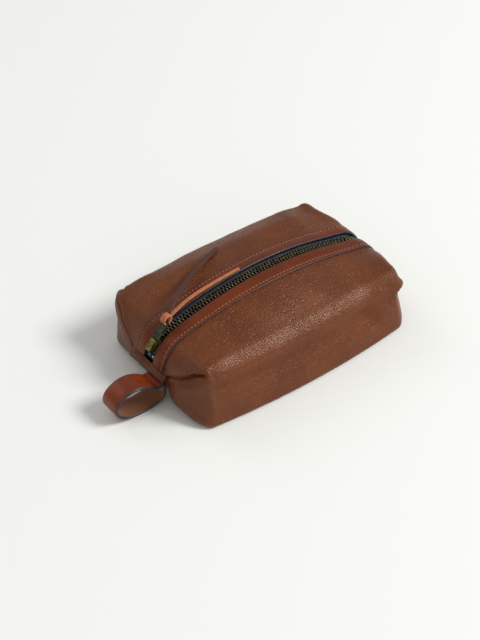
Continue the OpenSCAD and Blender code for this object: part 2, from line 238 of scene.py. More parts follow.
# %% Nodes of a material
class Finish:
    """A material under construction: a few short calls instead of long node code."""

    def __init__(self, name):
        self.material = bpy.data.materials.new(name)
        self.material.use_nodes = True
        self.tree = self.material.node_tree
        self.tree.nodes.clear()
        output = self.add("ShaderNodeOutputMaterial")
        self.shader = self.add("ShaderNodeBsdfPrincipled")
        self.tree.links.new(self.shader.outputs[0], output.inputs["Surface"])
        self.place = self.add("ShaderNodeTexCoord").outputs["Object"]

    def add(self, kind, **settings):
        node = self.tree.nodes.new(kind)
        for key, value in settings.items():
            setattr(node, key, value)
        return node

    def link(self, value, socket):
        """Puts a number or colour on a socket, or joins another node's output to it."""
        if isinstance(value, bpy.types.NodeSocket):
            self.tree.links.new(value, socket)
        else:
            socket.default_value = value

    def constant(self, **values):
        for key, value in values.items():
            self.shader.inputs[key.replace("_", " ")].default_value = value

    def noise(self, scale, detail=2.0, place=None, roughness=0.5):
        node = self.add("ShaderNodeTexNoise")
        self.link(place or self.place, node.inputs["Vector"])
        self.link(scale, node.inputs["Scale"])
        self.link(detail, node.inputs["Detail"])
        self.link(roughness, node.inputs["Roughness"])
        return node.outputs["Fac"]

    def cells(self, scale, feature, place=None):
        node = self.add("ShaderNodeTexVoronoi", feature=feature)
        self.link(place or self.place, node.inputs["Vector"])
        self.link(scale, node.inputs["Scale"])
        return node.outputs["Distance"]

    def math(self, operation, a, b=0.0):
        node = self.add("ShaderNodeMath", operation=operation)
        self.link(a, node.inputs[0])
        self.link(b, node.inputs[1])
        return node.outputs[0]

    def spread(self, value, low, high, to_low=0.0, to_high=1.0):
        node = self.add("ShaderNodeMapRange", interpolation_type="SMOOTHSTEP")
        for socket, number in zip(node.inputs[:5], (value, low, high, to_low, to_high)):
            self.link(number, socket)
        return node.outputs[0]

    def blend(self, share, a, b):
        node = self.add("ShaderNodeMix", data_type="RGBA")
        for index, value in ((0, share), (6, a), (7, b)):
            self.link(value, node.inputs[index])
        return node.outputs[2]

    def stretched(self, scale):
        node = self.add("ShaderNodeMapping")
        self.link(self.place, node.inputs["Vector"])
        node.inputs["Scale"].default_value = scale
        return node.outputs[0]

    def relief(self, height, depth, strength=1.0, under=None):
        """Bump whose height is in metres."""
        node = self.add("ShaderNodeBump")
        self.link(height, node.inputs["Height"])
        node.inputs["Distance"].default_value = depth
        node.inputs["Strength"].default_value = strength
        if under:
            self.link(under, node.inputs["Normal"])
        return node.outputs[0]


def colour(red, green, blue):
    """A screen colour from 0 to 255 as the linear light that Blender wants."""
    def linear(value):
        share = value / 255
        return share / 12.92 if share <= 0.04045 else ((share + 0.055) / 1.055) ** 2.4
    return (linear(red), linear(green), linear(blue), 1)


# %% Floor
paper = Finish("pale_paper")
paper.constant(Base_Color=(0.86, 0.868, 0.835, 1), Roughness=0.9, Specular_IOR_Level=0.1)
floor_reach = 6.0
floor_mesh = bpy.data.meshes.new("floor")
corners = [(x * floor_reach, y * floor_reach, -0.0003)
           for x, y in ((-1, -1), (1, -1), (1, 1), (-1, 1))]
floor_mesh.from_pydata(corners, [], [(0, 1, 2, 3)])
floor_mesh.materials.append(paper.material)
floor = bpy.data.objects.new("floor", floor_mesh)
bpy.context.scene.collection.objects.link(floor)
print("floor:", 2 * floor_reach, "m square")


# %% Lights
def soft_light(name, place, size, power):
    """A round lamp that faces the origin. Place and size are in metres, power in watts."""
    data = bpy.data.lights.new(name, "AREA")
    data.shape = "DISK"
    data.size = size
    data.energy = power
    light = bpy.data.objects.new(name, data)
    light.location = place
    light.rotation_euler = (-Vector(place)).to_track_quat("-Z", "Y").to_euler()
    bpy.context.scene.collection.objects.link(light)


soft_light("key", (2.6, -2.5, 3.45), 2.0, 195)
soft_light("back_fill", (-1.2, 4.5, 3.6), 3.0, 35)
soft_light("front_fill", (-2.2, -4.4, 1.7), 3.0, 20)
sky = bpy.data.worlds.new("sky")
bpy.context.scene.world = sky
sky.use_nodes = True
sky.node_tree.nodes["Background"].inputs["Color"].default_value = (1.0, 1.0, 0.99, 1)
sky.node_tree.nodes["Background"].inputs["Strength"].default_value = 0.47
print("lights:", sorted(light.name for light in bpy.data.lights))

# %% [markdown]
# ## Finishes
#
# Full-grain hide that has been tumbled has pebbles of one to three millimetres with fine
# valleys between them. A cell pattern gives the pebbles, a finer noise roughens them, and
# slow noise changes the tone and the depth of the grain over the hide. The facings, the
# strap and the thong are smoother, drum-dyed leather with a tighter grain. The shine is
# tinted slightly warm, so that a highlight lightens the brown without turning it grey.


# %% Leather
warm_shine = (1.0, 0.80, 0.66, 1)


def leather_finish(name, dark, light, pebble, depth, rough, shine=0.5, varnish=0.0):
    """Dyed leather between two tones, with painted shade in the grain's valleys. Pebble size and
    relief depth are in metres.
    """
    f = Finish(name)
    wander = f.add("ShaderNodeVectorMath", operation="MULTIPLY_ADD")
    warp = f.add("ShaderNodeTexNoise")
    f.link(f.place, warp.inputs["Vector"])
    warp.inputs["Scale"].default_value = 0.35 / pebble
    f.link(warp.outputs["Color"], wander.inputs[0])
    wander.inputs[1].default_value = (pebble * 0.9,) * 3
    f.link(f.place, wander.inputs[2])
    bent = wander.outputs[0]
    cells = f.cells(1 / pebble, "SMOOTH_F1", bent)
    valleys = f.cells(1 / pebble, "DISTANCE_TO_EDGE", bent)
    domes = f.math("SUBTRACT", 1.0, cells)
    creases = f.spread(valleys, 0.0, 0.16)
    fine = f.noise(2.4 / pebble, 3, bent)
    height = f.math("ADD", f.math("MULTIPLY", domes, 0.5), f.math("MULTIPLY", creases, 0.5))
    height = f.math("ADD", height, f.math("MULTIPLY", fine, 0.35))
    patches = f.spread(f.noise(34, 2), 0.3, 0.7, 0.55, 1.0)
    height = f.math("MULTIPLY", height, patches)
    tone = f.spread(f.noise(22, 3), 0.32, 0.68)
    body = f.blend(tone, dark, light)
    # painted shade: the valleys between the pebbles are blended towards a darker brown
    shade = f.math("MULTIPLY", f.math("SUBTRACT", 1.0, creases), 0.35)
    sunk = tuple(c * 0.45 for c in dark[:3]) + (1,)
    f.link(f.blend(shade, body, sunk), f.shader.inputs["Base Color"])
    f.link(f.spread(fine, 0.3, 0.7, rough - 0.05, rough + 0.07), f.shader.inputs["Roughness"])
    f.link(f.relief(height, depth), f.shader.inputs["Normal"])
    f.constant(Specular_IOR_Level=shine, Specular_Tint=warm_shine,
               Coat_Weight=varnish, Coat_Roughness=0.25)
    return f.material


hide_finish = leather_finish("pebbled_hide", colour(94, 42, 6), colour(108, 51, 10),
                             0.0018, 0.00046, 0.35, 0.5)
facing_finish = leather_finish("smooth_facing", colour(92, 36, 12), colour(110, 46, 16),
                               0.0011, 0.00008, 0.38, 0.3)
strap_finish = leather_finish("glossy_strap", colour(92, 34, 12), colour(132, 54, 20),
                              0.0012, 0.00006, 0.36, 0.35, 0.05)
thong_dark = leather_finish("thong_grain_side", colour(70, 40, 32), colour(88, 52, 42),
                            0.0010, 0.00006, 0.5, 0.35)
print("leathers:", [f.name for f in (hide_finish, facing_finish, strap_finish, thong_dark)])


# %% Cut edges, suede and cloth
def plain_finish(name, base, second, scale, rough, depth=0.00005, **constants):
    f = Finish(name)
    grain = f.noise(scale, 4)
    f.link(f.blend(f.spread(grain, 0.35, 0.65), base, second), f.shader.inputs["Base Color"])
    f.link(f.spread(grain, 0.3, 0.7, rough - 0.06, rough + 0.08), f.shader.inputs["Roughness"])
    f.link(f.relief(grain, depth), f.shader.inputs["Normal"])
    f.constant(**constants)
    return f.material


painted_edge = plain_finish("painted_edge", colour(30, 27, 34), colour(48, 42, 48), 700, 0.4,
                            Specular_IOR_Level=0.5)
suede = plain_finish("flesh_side", colour(104, 62, 36), colour(126, 80, 50), 1500, 0.85,
                     0.0001, Sheen_Weight=0.2, Specular_IOR_Level=0.2)
tan_flesh = plain_finish("thong_flesh_side", colour(160, 92, 54), colour(186, 118, 78), 900,
                         0.6, 0.00008, Specular_IOR_Level=0.3)
thread_finish = plain_finish("waxed_thread", colour(134, 82, 52), colour(168, 112, 76), 2600,
                             0.5, 0.00008, Sheen_Weight=0.2)
brown_thread = plain_finish("brown_thread", colour(76, 40, 20), colour(100, 58, 32), 2600,
                            0.5, 0.00008, Sheen_Weight=0.2)


def woven_finish(name, warp_colour, weft_colour, pitch, rough):
    """Plain weave: two crossed sets of rounded ridges, each showing its own yarn."""
    f = Finish(name)
    waves = []
    for axis in ("X", "Y"):
        node = f.add("ShaderNodeTexWave", wave_type="BANDS", bands_direction=axis)
        f.link(f.place, node.inputs["Vector"])
        node.inputs["Scale"].default_value = 0.314 / pitch
        node.inputs["Distortion"].default_value = 0.6
        node.inputs["Detail"].default_value = 1.0
        waves.append(node.outputs["Fac"])
    height = f.math("MAXIMUM", waves[0], waves[1])
    over = f.math("GREATER_THAN", waves[0], waves[1])
    f.link(f.blend(over, warp_colour, weft_colour), f.shader.inputs["Base Color"])
    fuzz = f.noise(1.6 / pitch, 3)
    f.link(f.spread(fuzz, 0.3, 0.7, rough - 0.05, rough + 0.05), f.shader.inputs["Roughness"])
    f.link(f.relief(f.math("ADD", height, f.math("MULTIPLY", fuzz, 0.3)), pitch * 0.25),
           f.shader.inputs["Normal"])
    f.constant(Sheen_Weight=0.25, Specular_IOR_Level=0.3)
    return f.material


tape_finish = woven_finish("navy_tape", colour(20, 22, 44), colour(34, 36, 66), 0.0006, 0.75)
lining_finish = woven_finish("cotton_lining", colour(176, 150, 116), colour(196, 172, 138),
                             0.0009, 0.85)


# %% Metals
def metal_finish(name, bright, tarnish, rough, worn=0.5):
    f = Finish(name)
    stains = f.noise(420, 5)
    scratches = f.noise(260, 4, f.stretched((1, 9, 1)))
    share = f.spread(f.math("ADD", f.math("MULTIPLY", stains, 0.7),
                            f.math("MULTIPLY", scratches, 0.3)), worn - 0.14, worn + 0.14)
    f.link(f.blend(share, tarnish, bright), f.shader.inputs["Base Color"])
    f.link(f.spread(stains, 0.3, 0.7, rough + 0.12, rough - 0.05), f.shader.inputs["Roughness"])
    f.link(f.relief(scratches, 0.00003), f.shader.inputs["Normal"])
    f.constant(Metallic=1.0)
    return f.material


teeth_finish = metal_finish("antique_brass_teeth", colour(152, 142, 106), colour(66, 62, 54), 0.34)
slider_finish = metal_finish("antique_brass_slider", colour(160, 142, 80), colour(90, 82, 46), 0.3)
puller_finish = metal_finish("dark_brass_puller", colour(92, 94, 76), colour(48, 52, 46), 0.34)
stop_finish = metal_finish("steel_stop", colour(150, 154, 160), colour(96, 98, 104), 0.32)
print("materials:", sorted(m.name for m in bpy.data.materials))

# %% [markdown]
# ## Meshes from grids of points
#
# Hide, lining, facings and tape are all sheets with a thickness. Each is made from two
# grids of points, an outer face and an inner face, joined round their edges, so that every
# piece is a closed solid. Working from grids keeps full control of the shape.


# %% Grid to sheet
def add_object(name, points, faces, finishes, finish_of_face=None, smooth_shaded=True):
    mesh = bpy.data.meshes.new(name)
    mesh.from_pydata((np.asarray(points) * MM).tolist(), [], faces)
    for finish in finishes:
        mesh.materials.append(finish)
    if finish_of_face is not None:
        mesh.polygons.foreach_set("material_index", finish_of_face)
    mesh.polygons.foreach_set("use_smooth", [smooth_shaded] * len(mesh.polygons))
    mesh.update()
    piece = bpy.data.objects.new(name, mesh)
    bpy.context.scene.collection.objects.link(piece)
    return piece


def face_outwards(piece):
    """Turns every face of a closed piece outwards."""
    work = bmesh.new()
    work.from_mesh(piece.data)
    bmesh.ops.recalc_face_normals(work, faces=work.faces)
    work.to_mesh(piece.data)
    work.free()
    return piece


def sheet(name, outer, inner, finishes, edge_columns=0):
    """A closed sheet between two grids. Finishes: outer face, inner face, cut edges."""
    rows, columns = outer.shape[:2]
    count = rows * columns
    faces, finish_of_face = [], []

    def quad(a, b, c, d, finish):
        faces.append((a, b, c, d))
        finish_of_face.append(finish)

    for r in range(rows - 1):
        for c in range(columns - 1):
            a = r * columns + c
            on_edge = c < edge_columns or c >= columns - 1 - edge_columns
            quad(a, a + columns, a + columns + 1, a + 1, 2 if on_edge else 0)
            quad(count + a, count + a + 1, count + a + columns + 1, count + a + columns, 1)
    for c in range(columns - 1):
        a, b = c, (rows - 1) * columns + c
        quad(a, a + 1, count + a + 1, count + a, 2)
        quad(b + 1, b, count + b, count + b + 1, 2)
    for r in range(rows - 1):
        a, b = r * columns, (r + 1) * columns - 1
        quad(a + columns, a, count + a, count + a + columns, 2)
        quad(b, b + columns, count + b + columns, count + b, 2)
    points = np.concatenate([outer.reshape(-1, 3), inner.reshape(-1, 3)])
    return face_outwards(add_object(name, points, faces, finishes, finish_of_face))


def sharpen(piece, degrees=35):
    """Shades edges steeper than an angle as sharp."""
    piece.data.set_sharp_from_angle(angle=math.radians(degrees))


# %% [markdown]
# ## How the mouth opens
#
# When the slider runs along the zip, the two halves of the top fold up and out. Their ends
# stay sewn into the seams, so the opening has the shape of a lens: no movement at either
# end and the full turn in the middle. Here each piece is only baked where it stands.


def bend_with(piece):
    """Bakes a piece's placement into its mesh; it does not bend the piece."""
    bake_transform(piece)


SIDES = {"front": -1, "back": 1}


def bend_with_mouth(piece):
    bend_with(piece)


# %% [markdown]
# ## The hide
#
# On the real bag one hide wraps from the zip down the front, under the base and up to the
# zip at the back, and each end is folded in and sewn flat, like the end of a wrapped
# parcel. It sags between its corners, bows out at the base, and creases where it folds.
#
# A lofted surface gives the folded form: a half section is worked out at about two hundred
# places along the bag, close together where the ends roll over. The soft, worn look then
# comes from a few sculpting moves along the surface's own normals, each a soft bell or a
# step with a place, a width and a depth, the way a sculptor would push with a thumb.

# %% The loft
TOP_STEPS, ARC_STEPS, WALL_STEPS, BASE_STEPS = 34, 16, 34, 12
hide_inner_y = 8.0


def half_section(x, side):
    """Rows of points round half the bag, from beside the zip to the middle of the base."""
    s = {name: value[:, None] for name, value in section_at(x).items()}
    r, q = s["top_radius"], s["base_radius"]
    rim_y = s["top_half"] - r * (1 - math.sin(panel_slope))
    y_top = mix(hide_inner_y, rim_y, np.linspace(0, 1, TOP_STEPS + 1)[None, :])
    z_top = top_height(x[:, None], y_top)
    turn = np.linspace(math.pi / 2 - panel_slope, 0, ARC_STEPS + 1)[None, 1:]
    y_arc = s["top_half"] - r + r * np.cos(turn)
    z_arc = s["top_z"] - r + r * np.sin(turn)
    down = np.linspace(0, 1, WALL_STEPS + 1)[None, 1:]
    y_wall = mix(s["top_half"], s["base_half"], down)
    z_wall = mix(s["top_z"] - r, s["base_z"] + q, down)
    turn = np.linspace(0, -math.pi / 2, ARC_STEPS + 1)[None, 1:]
    y_low = s["base_half"] - q + q * np.cos(turn)
    z_low = s["base_z"] + q + q * np.sin(turn)
    inward = np.linspace(1, 0, BASE_STEPS + 1)[None, 1:]
    y_base = (s["base_half"] - q) * inward
    z_base = s["base_z"] + 0 * inward
    y = np.concatenate([y_top, y_arc, y_wall, y_low, y_base], 1)
    z = np.concatenate([z_top, z_arc, z_wall, z_low, z_base], 1)
    return np.stack([np.broadcast_to(x[:, None], y.shape), SIDES[side] * y, z], -1)


def grid_normals(grid, side):
    along = np.gradient(grid, axis=0)
    across = np.gradient(grid, axis=1)
    return unit(np.cross(along, across)) * SIDES[side]


fold_column = TOP_STEPS + ARC_STEPS // 2
hide_stations = stations(-end_x + 0.12, end_x - 0.12, 1.25)
print("hide:", len(hide_stations), "sections")


# %% Soft noise that never changes
seed_shift = 17.3


def slow_noise(points, size, seed):
    """Smooth noise from -1 to 1 whose bumps are about as wide as size."""
    flat = points.reshape(-1, 3) / size + seed * seed_shift
    values = [noise.noise(Vector(p)) for p in flat]
    return np.array(values).reshape(points.shape[:-1])


# %% Thumb moves on the hide
def bow(x):
    """Share of the sideways bow, full at mid length and none at the corners."""
    return np.clip(1 - (x / (base_corner_x - 2)) ** 2, 0, 1)


SOFTNESS = {
    # outward bow of the base and of the top edge; how far both stand out even at the corners
    "front": {"base_bow": 7.0, "edge_bow": 0.5, "base_out": 6.5, "edge_out": 0.0,
              # lift of the top's edge, in the middle and at the right corner
              "lift": 0.0, "corner_lift": 4.0,
              # valley in the wall, bulge of the right end, filling of the ends, noise seed
              "valley": 2.8, "end_bulge": 1.5, "filled_left": 6.5, "filled_right": 6.0,
              "seed": 1.0},
    "back": {"base_bow": 6.0, "edge_bow": 5.5, "base_out": -2.0, "edge_out": 2.5,
             "lift": 8.0, "corner_lift": 1.5,
             "valley": 2.0, "end_bulge": 3.0, "filled_left": 1.0, "filled_right": 2.5,
             "seed": 4.0},
}


def fold_step(distance, height, edge):
    """A sharp ridge at distance 0 that falls slowly before it and steeply behind it."""
    before = height * np.exp(np.minimum(distance, 0) / 7)
    behind = mix(height, -height, smooth(distance, 0, edge)) * np.exp(-np.maximum(distance, 0) / 11)
    return np.where(distance < 0, before, behind)


def sculpt(grid, side):
    soft = SOFTNESS[side]
    x, y, z = grid[..., 0], np.abs(grid[..., 1]), grid[..., 2]
    run = np.linalg.norm(np.diff(grid, axis=1), axis=-1)
    length = np.concatenate([np.zeros((len(grid), 1)), np.cumsum(run, 1)], 1)
    below = length - length[:, fold_column:fold_column + 1]
    normals = grid_normals(grid, side)
    end_share = section_at(x)["end_share"]
    off_zip = smooth(y, 21, 36)
    off_floor = smooth(z, 1, 12)
    free = np.where(z > 30, off_zip, 1.0) * off_floor
    in_body = 1 - smooth(np.abs(x), 96, 112)

    push = 1.0 * slow_noise(grid, 48, soft["seed"]) + 0.35 * slow_noise(grid, 17, soft["seed"])
    push = push * free
    # the edge rolls over softly, then the wall sinks into a long valley under it
    valley_reach = smooth(x, -112, -92) * (1 - smooth(x, 66, 84))
    push = push - soft["valley"] * valley_reach * hump(below, 21 - 2 * hump(x, 60, 30), 8)
    push = push + 1.3 * in_body * hump(below, 7, 6)
    # the ends fold in along a crease from each top corner down to the seam
    creased = smooth(-x, 103.2, 106.5) + 0.35 * smooth(x, 106, 110)
    waver = 0.7 * np.sin((np.abs(x) - 103) * 0.9)
    push = push - creased * mix(4.6, 1.8, end_share) * hump(below, waver, 1.25)
    push = push + creased * 1.3 * hump(below, waver - 3.2, 2.0) * (1 - end_share)
    lobe = hump(np.abs(x), 109.5, 8) * (1 - 0.6 * end_share) * (1 - 0.7 * smooth(x, 60, 100))
    push = push + 2.6 * lobe * hump(below, 8, 6)
    # the lower half of each end is filled out by what the base pushes into it
    base_share = section_at(x)["base_share"]
    filled = 4 * base_share * (1 - base_share) * (1 - smooth(z, 33, 47)) * smooth(y, 20, 38)
    filling = mix(soft["filled_right"], soft["filled_left"], smooth(-x, -50, 50))
    push = push + filling * filled
    # the upper part of the right end bulges, except near the zip
    push = push + soft["end_bulge"] * hump(x, 108, 6) * smooth(y, 12, 36) * smooth(z, 32, 44)
    # small puckers beside the left corner, where the spare leather gathers
    for place, depth in ((-101.5, 1.0), (-97.8, -0.7), (-94.5, 0.45), (-91.0, -0.3)):
        push = push + depth * hump(x, place, 1.6) * hump(below, 1.5, 5)
    grid = grid + normals * push[..., None]

    if side == "front":
        # a fold sweeps from the right corner down and left across the wall
        fold_height = np.interp(x, [60, 71, 82, 90, 96.5, 102, 110], [19.5, 21, 25, 31, 37, 42, 48])
        distance = (fold_height - z) * 0.75
        shown = smooth(x, 67, 82) * (1 - smooth(x, 107, 112)) * smooth(below, 2, 8) * off_floor
        grid = grid + normals * (fold_step(distance, 3.8, 2.4) * shown)[..., None]

    low = 1 - ramp(z, 0, edge_height)
    corner = 1 - smooth(np.abs(x), 108, end_x)
    sideways = (mix(soft["edge_bow"], soft["base_bow"], low) * bow(x)
                + mix(soft["edge_out"], soft["base_out"], low) * corner)
    share = np.where(z > 30, smooth(y, 24, 62), y / base_half)
    grid[..., 1] += SIDES[side] * sideways * share
    lifted = mix(soft["lift"] * smooth(x, -110, -72), soft["corner_lift"], smooth(x, 70, 103))
    lifted = lifted * (1 - smooth(x, 108, 117))
    grid[..., 2] += lifted * smooth(y, 22, 46) * smooth(z, 34, 50)
    grid[..., 2] = np.maximum(grid[..., 2], 0.0)
    return swell(grid)


# %% Hide and lining, front and back
lining_gap, lining_cloth = 0.35, 0.8
lining_end_x, lining_edge_y = 113, 15.5
hide_grids = {}
for side in SIDES:
    grid = sculpt(half_section(hide_stations, side), side)
    normals = grid_normals(grid, side)
    skived = mix(leather, 0.7, section_at(grid[..., 0])["end_share"])[..., None]
    inner = grid - normals * skived
    hide_grids[side] = grid
    hide = sheet("hide_" + side, grid, inner, [hide_finish, suede, painted_edge])
    bend_with_mouth(hide)
    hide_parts(side + "_top_panel", "body_wrap", "left_end", "right_end")

    inside = np.abs(hide_stations) < lining_end_x
    columns = grid[:, :, 1][len(grid) // 2]
    first = int(np.argmax(np.abs(columns) > lining_edge_y))
    cloth = (grid - normals * (leather + lining_gap))[inside][:, first:]
    cloth_inner = (grid - normals * (leather + lining_gap + lining_cloth))[inside][:, first:]
    cloth[..., 2] = np.maximum(cloth[..., 2], leather + lining_gap)
    lining = sheet("lining_" + side, cloth[::2, ::2], cloth_inner[::2, ::2],
                   [lining_finish, lining_finish, lining_finish])
    bend_with_mouth(lining)
    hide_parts(side + "_top_lining", "lining")
    print("hide", side, len(hide.data.polygons), "faces; lining", len(lining.data.polygons))

# %% [markdown]
# ## Facing strips
#
# A smooth strip of leather is sewn along each side of the zip, over the cut edge of the
# hide. Its own edges are cut square, painted dark and slightly rounded, a faint creased
# line runs beside the zip, and the stitches pull a shallow furrow near the outer edge. The
# strip is a profile carried along the zip's curve, so it lies on the hide at every place.

# %% Strips along the zip
strip_stations = stations(-end_x + 0.3, end_x - 0.3, 1.6)
facing_profile = [
    # distance from the zip's middle, lift from the hide
    (19.5, 0.05), (19.52, 0.7), (19.4, 1.2), (19.1, 1.45), (18.4, 1.55), (17.5, 1.5),
    (16.9, 1.3), (16.5, 1.2), (16.1, 1.3), (15.5, 1.5), (13.5, 1.6), (11.0, 1.62),
    (8.9, 1.6), (8.5, 1.48), (8.2, 1.5), (7.3, 1.55), (6.7, 1.45), (6.3, 1.15), (6.15, 0.6),
    (6.2, -1.2)]


def carried(profile, places, side):
    """A grid: the profile's points carried to each place along the zip."""
    across = np.array([p[0] for p in profile])
    lifts = np.array([p[1] for p in profile])
    return on_top(places[:, None], SIDES[side] * across[None, :], lifts[None, :])


for side in SIDES:
    outer = carried(facing_profile, strip_stations, side)
    under = [(p[0], min(p[1] - 0.4, 0.02)) for p in facing_profile[:-1]] + [(7.0, -1.2)]
    inner = carried(under, strip_stations, side)
    facing = sheet("facing_" + side, outer, inner,
                   [facing_finish, suede, painted_edge], edge_columns=3)
    bend_with_mouth(facing)
    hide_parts(side + "_facing", "left_facing_ends", "right_facing_ends")
    print("facing", side, len(facing.data.polygons), "faces")

# %% [markdown]
# ## Stitches
#
# Waxed thread makes short plump stitches that dive into the leather at both ends. One
# stitch is modelled once and set down again and again at the stitch pitch, so each line is
# one piece made of many small solids.


# %% A stitch, and a line of them
def stitch_solid(length, thickness):
    """Points and faces of one plump stitch along X, sunk at both ends."""
    sides, rings = 6, 5
    points, faces = [], []
    for i in range(rings):
        share = i / (rings - 1)
        radius = thickness / 2 * (0.55 + 0.45 * math.sin(math.pi * share))
        sink = thickness * 0.75 * (2 * share - 1) ** 4
        for j in range(sides):
            turn = 2 * math.pi * j / sides
            points.append((length * (share - 0.5), radius * math.cos(turn),
                           radius * math.sin(turn) - sink))
    for i in range(rings - 1):
        for j in range(sides):
            a, b = i * sides + j, i * sides + (j + 1) % sides
            faces.append((a, a + sides, b + sides, b))
    faces.append(tuple(range(sides)))
    faces.append(tuple(range(rings * sides - 1, (rings - 1) * sides - 1, -1)))
    return np.array(points), faces


def set_down(name, solid, frames, finish):
    """Copies a solid to many frames (origin and three axes) as one piece."""
    points, faces = solid
    all_points, all_faces = [], []
    for origin, axes in frames:
        base = len(all_points) * len(points)
        all_points.append(origin + points @ axes)
        all_faces += [tuple(i + base for i in face) for face in faces]
    return face_outwards(add_object(name, np.concatenate(all_points), all_faces, [finish]))


def frame_on_top(x, y, lift):
    """Where something sits on the top: its origin, and axes along, across and up."""
    here = on_top(x, y, lift)
    along = unit(on_top(x + 0.2, y, lift) - on_top(x - 0.2, y, lift))
    up = unit(on_top(x, y, lift + 1) - here)
    return here, np.stack([along, np.cross(up, along), up])


stitch_pitch, stitch_length, thread = 3.7, 2.9, 0.85
stitch_y, stitch_lift = 16.5, 1.42
for side in SIDES:
    places = stations(-end_x + 4, end_x - 4, stitch_pitch)
    frames = [frame_on_top(x, SIDES[side] * stitch_y, stitch_lift) for x in places]
    stitches = set_down("facing_stitches_" + side, stitch_solid(stitch_length, thread),
                        frames, thread_finish)
    bend_with_mouth(stitches)
    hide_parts(side + "_facing_stitches", "facing_end_stitches")
    print("stitches", side, len(places))

# %% [markdown]
# ## The zip
#
# Each tape is a narrow woven strip with a corded edge. The teeth are cast or pressed metal
# clamped on that cord, one row per tape, and the rows mesh half a pitch apart. A tooth has
# two legs that grip the tape and a rounded head that reaches past the middle. Modelling
# one tooth and setting it down along the curve keeps the rows exact.

# %% Tapes
# distance from the zip's middle, lift from the hide
tape_profile = [(3.3, -2.7), (3.45, -2.2), (3.9, -2.0), (4.35, -2.2), (4.7, -2.4), (5.5, -2.42),
                (6.5, -2.42), (8.0, -2.42), (10.0, -2.42), (12.5, -2.42), (15.2, -2.42)]
closing = 2.9 * smooth(-strip_stations, 109, 113)
cord_lift, cord_edge, tape_thick = -2.7, 4.7, 0.6


def tape_grid(profile, side):
    """The tape's two cords come together past the closed end of the teeth."""
    across = np.array([p[0] for p in profile])[None, :]
    lifts = np.array([p[1] for p in profile])[None, :]
    across = across - closing[:, None] * (1 - smooth(across, 4.3, 6.0))
    return on_top(strip_stations[:, None], SIDES[side] * across, lifts)


for side in SIDES:
    outer = tape_grid(tape_profile, side)
    # the corded edge is mirrored below its middle, and the rest of the tape is flat
    mirrored = [(y, 2 * cord_lift - lift if y < cord_edge else lift - tape_thick)
                for y, lift in tape_profile]
    inner = tape_grid(mirrored, side)
    tape = sheet("zip_tape_" + side, outer, inner, [tape_finish] * 3)
    bend_with_mouth(tape)
    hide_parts(side + "_tape", "right_end_tapes")
    print("tape", side, len(tape.data.polygons), "faces")


# %% Teeth
def prism(outline, levels):
    """A closed solid from an outline repeated at levels (height, inset share)."""
    outline = np.array(outline, float)
    middle = outline.mean(0)
    rings, faces = [], []
    count = len(outline)
    for height, inset in levels:
        inward = unit(middle - outline) * inset
        rings.append(np.column_stack([outline + inward, np.full(count, height)]))
    for i in range(len(levels) - 1):
        for j in range(count):
            a, b = i * count + j, i * count + (j + 1) % count
            faces.append((a, b, b + count, a + count))
    faces.append(tuple(range(count - 1, -1, -1)))
    faces.append(tuple(range((len(levels) - 1) * count, len(levels) * count)))
    return np.concatenate(rings), faces


tooth_pitch, tooth_half = 3.2, 0.62
tooth_outline = [(-tooth_half, -3.95), (tooth_half, -3.95), (tooth_half + 0.06, -3.2),
                 (tooth_half, -1.5), (tooth_half - 0.2, -0.9), (tooth_half - 0.04, -0.3),
                 (0.42, 0.35), (0.14, 0.55), (-0.14, 0.55), (-0.42, 0.35),
                 (0.04 - tooth_half, -0.3), (0.2 - tooth_half, -0.9), (-tooth_half, -1.5),
                 (-tooth_half - 0.06, -3.2)]
tooth_levels = [(-1.6, 0.22), (-1.4, 0.0), (1.35, 0.0), (1.58, 0.12), (1.66, 0.32)]
zip_places = stations(-end_x + 7.6, end_x - 3.0, tooth_pitch / 2)
for side, shift in (("front", 0), ("back", 1)):
    places = zip_places[shift::2]
    frames = []
    for x in places:
        origin, axes = frame_on_top(float(x), 0.0, -skin_over_teeth - zip_depth)
        turned = np.stack([axes[0] * -SIDES[side], axes[1] * -SIDES[side], axes[2]])
        frames.append((origin, turned))
    teeth = set_down("zip_teeth_" + side, prism(tooth_outline, tooth_levels), frames, teeth_finish)
    sharpen(teeth, 40)
    bend_with_mouth(teeth)
    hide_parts(side + "_teeth", "right_end_teeth")
    print("teeth", side, len(places))

# %% [markdown]
# ## Seam lips
#
# At each end the two layers of the hide come together and are sewn into a short lip. On
# the bench it shows as two cut edges, one over the other, painted dark, with the upper
# layer curling down from the end. Each layer is its own sheet, and a row of stitches holds
# them together.

# %% Lips at both ends
lip_reach = seam_high[0] - end_x


def lip_layer(end, profile, thickness, seam_rows=25):
    """A layer that leaves the end at the profile's first point and runs out to its edge."""
    places = np.linspace(-seam_half - 0.6, seam_half + 0.6, seam_rows)
    drop = 0.9 * (np.abs(places) / seam_half) ** 4
    reach = 1 - 0.12 * (np.abs(places) / seam_half) ** 6
    grids = []
    for sink in (0.0, thickness):
        rows = []
        for y, fall, share in zip(places, drop, reach):
            wave = 0.25 * math.sin(y * 0.23 + end)
            rows.append([(end * (end_x - 1 + (out + 1) * share), y, up - fall - sink + wave)
                         for out, up in profile])
        grids.append(np.array(rows))
    return grids


